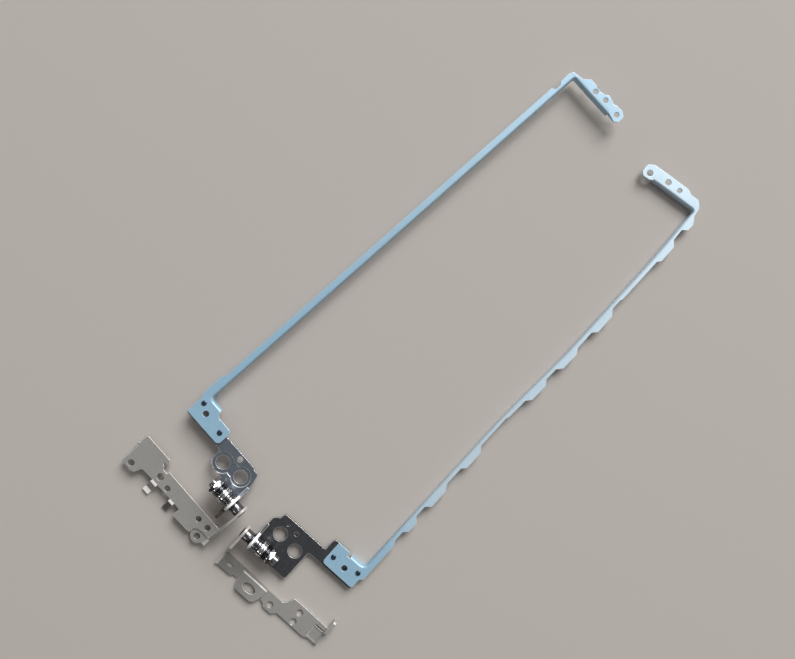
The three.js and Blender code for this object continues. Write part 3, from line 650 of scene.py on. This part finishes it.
def turnedFinish(name, side, look):
    material, tree, shader, place = newMaterial(name, side)
    clouds = useGroup(tree, "clouds", Place=place, Strength=look["clouds"])
    rings = useGroup(tree, "rings", Place=place, Density=look["ringDensity"])["Height"]
    ringed = colourMix(tree, ramp(tree, rings, *ringOver), look["colour"], look["ringColour"])
    link(tree, scaled(tree, ringed, clouds["Tint"]), shader.inputs["Base Color"])
    rough = mathNode(tree, "ADD", look["roughness"], times(tree, clouds["Haze"], look["hazeRoughness"]))
    link(tree, rough, shader.inputs["Roughness"])
    shader.inputs["Metallic"].default_value = 1.0
    link(tree, bump(tree, rings, look["ringBump"], ringDepth), shader.inputs["Normal"])
    return material


finishes = {
    "nickel": {"colour": (0.49, 0.482, 0.458), "hazeColour": (0.445, 0.435, 0.41), "wornAndSheenColour": (0.66, 0.65, 0.62),
               "bendHighlightColour": (0.88, 0.87, 0.85), "clouds": 0.05, "scratches": 0.3, "wearAndSheen": 0.85, "roughness": 0.31,
               "hazeRoughness": 0.06, "wornShine": 0.0, "metal": 0.55, "wornMetal": 0.3,
               "rimBareHighlightColour": (0.43, 0.415, 0.385), "rimMetal": 0.1, "bendHighlightShare": 0.95, "bendMetal": 0.08,
               "grain": 0.10,
               # Painted shade near the ear, strong on the right base.
               "earShadeColour": (0.27, 0.26, 0.235), "earShadeFrom": {"right": 4, "left": -1},
               "earShadeTo": {"right": 24, "left": 12}, "earShadeShare": {"right": 0.8, "left": 0.2}},
    # The rail's paler colour away from the hinge is a painted reflection of the lamp, fullest on the right rail.
    "zinc": {"colour": (0.36, 0.575, 0.74), "hazeColour": (0.335, 0.54, 0.70), "paintedSheenColour": (0.60, 0.745, 0.85),
             "sheenFrom": {"right": 20, "left": 22}, "sheenTo": {"right": 75, "left": 210},
             "sheenShare": {"right": 1.0, "left": 0.35},
             "wornAndSheenColour": (0.80, 0.86, 0.90), "bendHighlightColour": (0.80, 0.86, 0.90), "clouds": 0.05, "scratches": 0.25,
             "wearAndSheen": 0.8, "roughness": 0.36, "hazeRoughness": 0.05, "wornShine": 0.06, "metal": 0.3, "wornMetal": 0.4,
             "rimBareHighlightColour": (0.78, 0.85, 0.90), "rimMetal": 0.5, "bendHighlightShare": 0.25, "bendMetal": 0.3, "grain": 0.10,
             "grainTurned": True},
    "greyCoat": {"colour": (0.175, 0.20, 0.235), "hazeColour": (0.15, 0.17, 0.20), "wornAndSheenColour": (0.72, 0.73, 0.75),
                 "bendHighlightColour": (0.72, 0.73, 0.75), "clouds": 0.08, "scratches": 0.2, "wearAndSheen": 0.8, "roughness": 0.32,
                 "hazeRoughness": 0.07, "wornShine": 0.05, "metal": 0.55, "wornMetal": 0.5,
                 "rimBareHighlightColour": (0.86, 0.86, 0.85), "rimMetal": 0.0, "bendHighlightShare": 0.1, "bendMetal": 0.5, "grain": 0.12},
    "blackCoat": {"colour": (0.068, 0.072, 0.079), "hazeColour": (0.053, 0.055, 0.060),
                  "wornAndSheenColour": (0.70, 0.70, 0.70), "bendHighlightColour": (0.70, 0.70, 0.70), "clouds": 0.08,
                  "scratches": 0.12, "wearAndSheen": 0.75, "roughness": 0.33, "hazeRoughness": 0.07, "wornShine": 0.06,
                  "metal": 0.5, "wornMetal": 0.5, "rimBareHighlightColour": (0.88, 0.88, 0.87), "rimMetal": 0.0, "bendHighlightShare": 0.1,
                  "bendMetal": 0.5, "grain": 0.12},
}
turnedFinishes = {
    "bright": {"colour": (0.72, 0.72, 0.71), "ringColour": (0.64, 0.64, 0.64), "clouds": 0.03, "ringDensity": 7.0,
               "roughness": 0.13, "hazeRoughness": 0.05, "ringBump": 0.12},
    "shaft": {"colour": (0.50, 0.50, 0.50), "ringColour": (0.36, 0.36, 0.37), "clouds": 0.06, "ringDensity": 5.0,
              "roughness": 0.20, "hazeRoughness": 0.07, "ringBump": 0.18},
    # Painted shade: the friction washer and keyed sleeves are drawn dark, standing in for the dark gaps between the
    # bright discs.
    "paintedGapShade": {"colour": (0.20, 0.20, 0.21), "ringColour": (0.14, 0.14, 0.15), "clouds": 0.05, "ringDensity": 5.0,
                "roughness": 0.2, "hazeRoughness": 0.05, "ringBump": 0.12},
    "spring": {"colour": (0.075, 0.08, 0.095), "ringColour": (0.05, 0.052, 0.06), "clouds": 0.06, "ringDensity": 5.0,
               "roughness": 0.26, "hazeRoughness": 0.06, "ringBump": 0.15},
    # Painted shade: the collar and staked head are the shaft's own steel, drawn darker for their dark reflection.
    "collar": {"colour": (0.24, 0.24, 0.25), "ringColour": (0.18, 0.18, 0.19), "clouds": 0.05, "ringDensity": 4.0,
               "roughness": 0.17, "hazeRoughness": 0.05, "ringBump": 0.10},
    # Painted shade: the stop washer's finger is drawn dark brown for the shade it lies in below the stack.
    "fingerShade": {"colour": (0.16, 0.125, 0.09), "ringColour": (0.11, 0.085, 0.06), "clouds": 0.08, "ringDensity": 3.0,
               "roughness": 0.38, "hazeRoughness": 0.08, "ringBump": 0.10},
    "rivet": {"colour": (0.10, 0.13, 0.18), "ringColour": (0.065, 0.08, 0.11), "clouds": 0.08, "ringDensity": 3.0,
              "roughness": 0.33, "hazeRoughness": 0.10, "ringBump": 0.12},
}
otherArm = (("greyCoat", "right"), ("blackCoat", "left"))  # each arm has one coat only
sheetMaterials = {(f, s): sheetFinish(f"{f}_{s}", s, look) for f, look in finishes.items() for s in sides
                  if (f, s) not in otherArm}
turnedMaterials = {(f, s): turnedFinish(f"{f}_{s}", s, look) for f, look in turnedFinishes.items() for s in sides}
print("finishes made:", len(sheetMaterials) + len(turnedMaterials))


# Sheet pieces. The ear's bare rim lies between two places along the shaft, above a height and before a y.
noEar = {"from": 0, "to": 0, "above": 0, "before": 0}
baseLook = {"easing": 0.15, "rounds": 2, "cornerAngle": 40, "tries": 9, "holeWearAndSheen": 0.15,
            "ear": {"from": -1.7, "to": -0.3, "above": -4.9, "before": 99},
            # The first zones paint a highlight on the left base's tab bends; the others make its tab legs fully
            # metallic.
            "paintedBendHighlight": {"left": [(20.2, 23.6, -22.5, -20.6), (31.0, 35.0, -22.5, -20.6),
                                     (31.0, 35.0, -28.0, -25.0)]},
            "burnished": {"left": [(20.2, 23.6, -27.0, -22.3), (31.0, 35.0, -25.2, -22.3)]}}
armLook = {"easing": 0.13, "rounds": 2, "cornerAngle": 40, "tries": 1, "holeWearAndSheen": 0.4,
           "ear": {"from": 3.6, "to": 5.0, "above": -3.6, "before": 4.9}}
railLook = {"easing": 0.10, "rounds": 2, "cornerAngle": 40, "tries": 6, "holeWearAndSheen": 0.3, "ear": noEar}
armFinish = {"right": ("blackCoat", "black_arm"), "left": ("greyCoat", "grey_arm")}
for side in sides:
    for node, look, (finish, slotName) in (("base_bracket", baseLook, ("nickel", "nickel_plate")),
                                           ("arm_bracket", armLook, armFinish[side]),
                                           ("display_rail", railLook, ("zinc", "blue_zinc"))):
        mesh = easedSheet(f"{side}_{node}_eased", side, f"{side}_{node}", look)
        addPiece(f"{side}_{node}_eased", mesh, f"{side}_{node}", sheetMaterials[(finish, side)])
        print(side, node, "eased:", len(mesh.polygons), "faces")


# Turned pieces.
turn = np.linspace(0, 2 * np.pi, 97)[:-1]


# Rectangular section with rounded corners, as (along, outwards) shares from 0 to 1 of its length and height.
def roundedSection(length, height, fillet, steps=5):
    a = np.linspace(0, np.pi / 2, steps)[None, :] + np.arange(4)[:, None] * np.pi / 2
    farX, farR = length - fillet, height - fillet
    centre = np.array([[farX, farR], [fillet, farR], [fillet, fillet], [farX, fillet]])
    x = centre[:, :1] + fillet * np.cos(a)
    r = centre[:, 1:] + fillet * np.sin(a)
    return (x / length).ravel(), (r / height).ravel()


# A ring about the shaft: its section is carried round, between an inner and an outer radius that may change with
# the turn. Its faces may be pushed along the shaft by startWave and endWave, and its hole by cone.
def ringPiece(side, x0, x1, inner, outer, fillet, startWave=0.0, endWave=0.0, cone=0.0):
    s, t = roundedSection(x1 - x0, float(np.max(outer) - np.max(inner)), fillet)
    s, t = s[:, None], t[:, None]
    inner, outer = np.broadcast_to(inner, turn.shape)[None, :], np.broadcast_to(outer, turn.shape)[None, :]
    r = inner + t * (outer - inner)
    x = x0 + s * (x1 - x0) + (1 - s) * startWave + s * endWave + cone * (1 - t) + 0 * r
    return fromHinge(side, np.stack([x, r * np.cos(turn), r * np.sin(turn)], -1))


# Keyed hole: round, cut by two flats across y.
def keyedHole(radius, flat):
    return np.minimum(radius, flat / np.maximum(np.abs(np.cos(turn)), 1e-6))


def bumpAt(angle, width):  # smooth hump of height 1 round one angle
    d = np.abs((turn - angle + np.pi) % (2 * np.pi) - np.pi)
    return np.where(d < width, 0.5 + 0.5 * np.cos(np.pi * d / width), 0.0)


shaftLook = {"body": 2.4, "flat": 1.8, "collar": 2.7, "core": 2.12, "pitch": 0.6, "headDome": 0.18,
             "headLength": 0.5, "neckEnd": 1.7, "neck": 1.7, "collarLength": 3.5, "threadAfter": 0.18,
             "threadFade": 0.5, "threadSteps": 9, "crest": 1.35, "smooth": 38}
washerLook = {"hole": 2.43, "flat": 1.83, "fillet": 0.2}
discLook = {"fillet": 0.24, "camWave": 0.10, "lobeAngle": 0.9, "lobeWidth": 0.8, "hole": 2.45}
springLook = {"sheet": 0.34, "lift": 0.2, "hole": 2.5, "fillet": 0.06}
nutLook = {"fillet": 0.08, "chamfer": 0.42, "chamferLength": 0.35, "hole": 2.43}


def buildStack(side):
    bright = turnedMaterials[("bright", side)]
    dark = turnedMaterials[("spring", side)]
    key = keyedHole(washerLook["hole"], washerLook["flat"])

    def place(node, points, material=bright, slotName="bright_steel"):
        mesh = gridMesh(f"{side}_{node}_turned", points, ring=True)
        addPiece(f"{side}_{node}_turned", mesh, f"{side}_{node}", material)

    # The friction washer and sleeves take the dark, painted-shade finish.
    for node in ("inner_friction_washer", "keyed_sleeve_a", "keyed_sleeve_b"):
        x0, x1, r = spanOf(side, node)
        place(node, ringPiece(side, x0, x1, key, r, washerLook["fillet"]), turnedMaterials[("paintedGapShade", side)])
    if side == "right":
        x0, x1, r = spanOf(side, "stop_washer")
        place("stop_washer", ringPiece(side, x0, x1, key, r, washerLook["fillet"]))
    # detent discs: two lobes on the cam disc sit in two hollows of the thrust disc, half a turn apart
    x0, x1, r = spanOf(side, "thrust_disc")
    c0, c1, cr = spanOf(side, "cam_disc")
    lobe, width = discLook["lobeAngle"], discLook["lobeWidth"]
    wave = discLook["camWave"] * (bumpAt(lobe, width) + bumpAt(lobe + np.pi, width))
    place("thrust_disc", ringPiece(side, x0, x1, key, r, discLook["fillet"], endWave=-wave))
    place("cam_disc", ringPiece(side, c0, c1, key, cr, discLook["fillet"], startWave=-wave))
    # disc springs: a flat ring drawn into a shallow cone, each facing its neighbour
    for i in range(4):
        node = f"disc_spring_{i + 1}"
        x0, x1, r = spanOf(side, node)
        flatStart = x0 if i % 2 == 0 else x0 + springLook["lift"]
        flatEnd = flatStart + springLook["sheet"]
        cone = springLook["lift"] if i % 2 == 0 else -springLook["lift"]
        points = ringPiece(side, flatStart, flatEnd, springLook["hole"], r, springLook["fillet"], cone=cone)
        place(node, points, dark, "dark_spring_steel")
    x0, x1, r = spanOf(side, "pressure_washer")
    place("pressure_washer", ringPiece(side, x0, x1, discLook["hole"], r, discLook["fillet"]))
    # lock nut: hexagon whose corners are turned down to a cone at both faces
    x0, x1, corner = spanOf(side, "lock_nut")
    hexagon = corner * math.cos(math.pi / 6) / np.cos((turn + np.pi / 6) % (np.pi / 3) - np.pi / 6)
    steps = 7
    s, t = roundedSection(x1 - x0, corner - nutLook["hole"], nutLook["fillet"], steps)
    s = np.concatenate([s[:steps], [0.75, 0.5, 0.25], s[steps:]])[:, None]  # more rows along the rim
    t = np.concatenate([t[:steps], np.ones(3), t[steps:]])[:, None]
    nearness = 1 - np.minimum(s, 1 - s) * (x1 - x0) / nutLook["chamferLength"]
    cone = corner - nutLook["chamfer"] * np.clip(nearness, 0, 1)
    reach = nutLook["hole"] + t * (np.minimum(hexagon[None, :], cone) - nutLook["hole"])
    x = x0 + s * (x1 - x0) + 0 * turn[None, :]
    points = fromHinge(side, np.stack([x, reach * np.cos(turn), reach * np.sin(turn)], -1))
    place("lock_nut", points, turnedMaterials[("shaft", side)])


# Hinge shaft: radius along it from a few corners, flats through the stack, and a real helical thread at its end.
# Thread radius is the core plus a triangle wave of (distance along / pitch minus turns).
def buildShaft(side):
    node = f"{side}_hinge_shaft"
    p = toHinge(side, nodePoints(node))
    x0, x1 = p[:, 0].min(), p[:, 0].max()
    earStart, earEnd = x0 + shaftLook["headLength"], x0 + shaftLook["neckEnd"]
    collarEnd = earEnd + shaftLook["collarLength"]
    threadStart = spanOf(side, "pressure_washer")[0] + shaftLook["threadAfter"]
    body, core, neck, collar = (shaftLook[k] for k in ("body", "core", "neck", "collar"))
    corners = np.array([
        [x0, 1.5], [x0 + 0.10, 1.95], [x0 + 0.28, 2.2], [earStart - 0.08, 2.3], [earStart, 2.26],  # staked head
        [earStart + 0.01, neck], [earEnd, neck],
        [earEnd + 0.01, 2.52], [earEnd + 0.12, 2.66], [earEnd + 0.28, collar],
        [collarEnd - 0.28, collar], [collarEnd - 0.1, 2.64], [collarEnd, 2.5],
        [collarEnd + 0.01, body], [x1 - 0.42, body], [x1, core - 0.1]])
    fine = np.arange(threadStart, x1 - 0.02, shaftLook["pitch"] / shaftLook["threadSteps"])
    xs = np.unique(np.concatenate([corners[:, 0], fine, [threadStart - 0.1]]))
    r = np.interp(xs, corners[:, 0], corners[:, 1])[:, None] + 0 * turn[None, :]
    x = xs[:, None] + 0 * turn[None, :]
    flatPart = (x > collarEnd + 0.005) & (x < threadStart - 0.05)
    r = np.where(flatPart, np.minimum(r, shaftLook["flat"] / np.maximum(np.abs(np.cos(turn)), 1e-6)), r)
    phase = ((x - threadStart) / shaftLook["pitch"] - turn[None, :] / (2 * np.pi)) % 1.0
    tooth = 1 - np.abs(2 * phase - 1)
    blend = np.clip((x - threadStart) / shaftLook["threadFade"], 0, 1)
    threaded = r - (body - core) * blend * (1 - np.clip(tooth * shaftLook["crest"], 0, 1))
    r = np.where(x >= threadStart, threaded, r)
    points = fromHinge(side, np.stack([x, r * np.cos(turn), r * np.sin(turn)], -1))
    ends = fromHinge(side, np.array([[x0 + shaftLook["headDome"], 0, 0], [x1, 0, 0]]))
    mesh = gridMesh(f"{side}_hinge_shaft_turned", points, ring=False, poles=ends, smoothAngle=shaftLook["smooth"])
    along = faceCentres(side, mesh)[:, 0]
    # The collar and staked head take the darker collar finish, a painted shade.
    shaft, dark = turnedMaterials[("shaft", side)], turnedMaterials[("collar", side)]
    addPiece(f"{side}_hinge_shaft_turned", mesh, node, shaft, (dark,))
    mesh.polygons.foreach_set("material_index", (along < collarEnd + 0.02).astype(np.int32))


# Rivets stand upright: radius against height from the CAD rivet's own box, with a dome on top.
rivetLook = {"steps": 48, "domeHeight": 0.5, "headHeight": 0.4, "shank": 0.72}


def buildRivet(side, letter):
    node = f"{side}_rail_rivet_{letter}"
    lo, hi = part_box(node)
    centre = (np.array(lo) + np.array(hi)) / 2
    radius = (hi.x - lo.x) / 2 / mm
    z0, z1 = lo.z / mm, hi.z / mm
    plateTop = z1 - rivetLook["domeHeight"]
    armUnder = z0 + rivetLook["headHeight"]
    shank = rivetLook["shank"]
    profile = np.array([  # share of the radius, height
        [0.35, z0 + 0.02], [0.82, z0], [0.95, z0 + 0.05], [1.0, z0 + 0.14], [1.0, armUnder],
        [shank, armUnder + 0.001], [shank, plateTop - 0.001],
        [1.0, plateTop], [1.0, plateTop + 0.13], [0.965, plateTop + 0.24], [0.88, plateTop + 0.34],
        [0.74, plateTop + 0.42], [0.58, plateTop + 0.47], [0.42, plateTop + 0.49],
        [0.30, plateTop + 0.47], [0.15, plateTop + 0.44]])
    v = np.linspace(0, 2 * np.pi, rivetLook["steps"] + 1)[:-1]
    r, z = profile[:, :1] * radius * mm, profile[:, 1:] * mm
    points = np.stack([centre[0] + r * np.cos(v), centre[1] + r * np.sin(v), z + 0 * v], -1)
    ends = np.array([[centre[0], centre[1], (z0 + 0.02) * mm], [centre[0], centre[1], (plateTop + 0.43) * mm]])
    mesh = gridMesh(f"{node}_formed", points, ring=False, poles=ends)
    addPiece(f"{node}_formed", mesh, node, turnedMaterials[("rivet", side)])


for side in sides:
    buildStack(side)
    buildShaft(side)
    for letter in "ab":
        buildRivet(side, letter)
    print(side, "stack, shaft and rivets turned")

# The left stop washer keeps its CAD shape, because of its finger, with eased edges.
stopLook = {"easing": 0.08, "rounds": 2, "cornerAngle": 40, "tries": 1, "holeWearAndSheen": 1.0, "ear": noEar,
            "fingerFrom": 3.5}
mesh = easedSheet("left_stop_washer_eased", "left", "left_stop_washer", stopLook)
# The finger takes the dark brown finish, a painted shade.
bright, shadedFinger = turnedMaterials[("bright", "left")], turnedMaterials[("fingerShade", "left")]
addPiece("left_stop_washer_eased", mesh, "left_stop_washer", bright, (shadedFinger,))
reach = np.hypot(*faceCentres("left", mesh).T[1:])
mesh.polygons.foreach_set("material_index", (reach > stopLook["fingerFrom"]).astype(np.int32))


# Floor, light and camera. The view is turned: these are its directions to the right and up, in plan.
viewRight = np.array((0.7028, 0.7114, 0.0))
viewUp = np.array((-0.7114, 0.7028, 0.0))


def buildFloor():
    look = {"colour": (0.465, 0.43, 0.40), "roughness": 0.9, "shine": 0.15, "reach": 6.0, "height": -0.00003}
    d, h = look["reach"], look["height"]
    mesh = bpy.data.meshes.new("floor")
    mesh.from_pydata([(-d, -d, h), (d, -d, h), (d, d, h), (-d, d, h)], [], [(0, 1, 2, 3)])
    floor = bpy.data.objects.new("floor", mesh)
    bpy.context.scene.collection.objects.link(floor)
    material = bpy.data.materials.new("paleFloor")
    material.use_nodes = True
    shader = material.node_tree.nodes["Principled BSDF"]
    shader.inputs["Base Color"].default_value = (*look["colour"], 1)
    shader.inputs["Roughness"].default_value = look["roughness"]
    shader.inputs["Specular IOR Level"].default_value = look["shine"]
    mesh.materials.append(material)


# A soft room: a dim ceiling that gets brighter towards the window side, dimmer walls, a dark far wall and a bright
# window wall. The ...Over pairs say between which values of direction or height each change runs.
def buildWorld():
    look = {"above": (0.17, 0.26), "aboveOver": (-0.4, 0.35), "walls": 0.75, "wallsOver": (0.6, 0.88),
            "farWall": 0.2, "farWallOver": (-0.8, -0.42), "bright": 0.75, "brightOver": (0.62, 0.9),
            "brightHeight": (0.1, 0.3), "background": (0.80, 0.79, 0.78)}
    world = bpy.data.worlds.new("softRoom")
    bpy.context.scene.world = world
    world.use_nodes = True
    tree = world.node_tree
    tree.nodes.clear()
    direction = tree.nodes.new("ShaderNodeTexCoord").outputs["Generated"]
    toward = tree.nodes.new("ShaderNodeVectorMath")
    toward.operation = "DOT_PRODUCT"
    key = viewUp * 0.75 + viewRight * 0.6
    toward.inputs[1].default_value = (key / np.linalg.norm(key)).tolist()
    link(tree, direction, toward.inputs[0])
    height = coordinate(tree, direction, 2)
    above = ramp(tree, toward.outputs["Value"], *look["aboveOver"], *look["above"], smooth=False)
    walls = ramp(tree, height, *look["wallsOver"], look["walls"], 1.0)
    above = times(tree, above, walls)
    farWall = ramp(tree, toward.outputs["Value"], *look["farWallOver"], look["farWall"], 1.0)
    above = times(tree, above, farWall)
    bright = ramp(tree, toward.outputs["Value"], *look["brightOver"], 0.0, look["bright"])
    bright = times(tree, bright, ramp(tree, height, *look["brightHeight"]))
    strength = mathNode(tree, "ADD", above, bright)
    room = tree.nodes.new("ShaderNodeBackground")
    room.inputs["Color"].default_value = (1.0, 1.0, 1.0, 1)
    link(tree, strength, room.inputs["Strength"])
    seen = tree.nodes.new("ShaderNodeBackground")
    seen.inputs["Color"].default_value = (*look["background"], 1)
    path = tree.nodes.new("ShaderNodeLightPath")
    mix = tree.nodes.new("ShaderNodeMixShader")
    for i, source in enumerate((path.outputs["Is Camera Ray"], room.outputs[0], seen.outputs[0])):
        link(tree, source, mix.inputs[i])
    out = tree.nodes.new("ShaderNodeOutputWorld")
    link(tree, mix.outputs[0], out.inputs["Surface"])


# A rectangular lamp whose size is given as its share of the distance, so that its light stays the same when it
# moves away.
def softbox(name, direction, elevation, distance, share, radiance):
    size = (share[0] * distance, share[1] * distance)
    lamp = bpy.data.lights.new(name, "AREA")
    lamp.shape = "RECTANGLE"
    lamp.size, lamp.size_y = size
    lamp.energy = radiance * math.pi * size[0] * size[1]
    o = bpy.data.objects.new(name, lamp)
    bpy.context.scene.collection.objects.link(o)
    flat = np.array(direction) / np.linalg.norm(direction)
    e = math.radians(elevation)
    away = Vector((flat[0] * math.cos(e), flat[1] * math.cos(e), math.sin(e)))
    o.location = away * distance
    o.rotation_mode = "QUATERNION"
    o.rotation_quaternion = away.to_track_quat("Z", "Y")


def buildCamera():
    look = {"lens": 33.7, "sensor": 36, "clip": 0.01, "place": (-0.01414, -0.00283, 0.3245)}
    camera = bpy.data.cameras.new("overhead")
    camera.lens = look["lens"]
    camera.sensor_width = look["sensor"]
    camera.clip_start = look["clip"]
    o = bpy.data.objects.new("overhead", camera)
    bpy.context.scene.collection.objects.link(o)
    o.location = look["place"]
    o.rotation_euler = (0, 0, math.atan2(viewRight[1], viewRight[0]))
    bpy.context.scene.camera = o


buildFloor()
buildWorld()
lamps = {
    "key": {"direction": viewUp * 0.8 + viewRight * 0.50, "elevation": 36, "distance": 4.5, "share": (0.55, 0.55),
            "radiance": 12.6},
    "overhead": {"direction": viewRight * 1.0 + viewUp * 0.3, "elevation": 62, "distance": 3.0, "share": (0.3, 0.3),
                 "radiance": 2.5},
    "lowStrip": {"direction": -viewUp * 0.7 - viewRight * 0.7, "elevation": 42, "distance": 3.0,
                 "share": (0.18, 0.115), "radiance": 7.0},
}
for name, look in lamps.items():
    softbox(name, **look)
buildCamera()
bpy.context.scene.view_settings.view_transform = "Standard"
print("floor, light and camera placed")
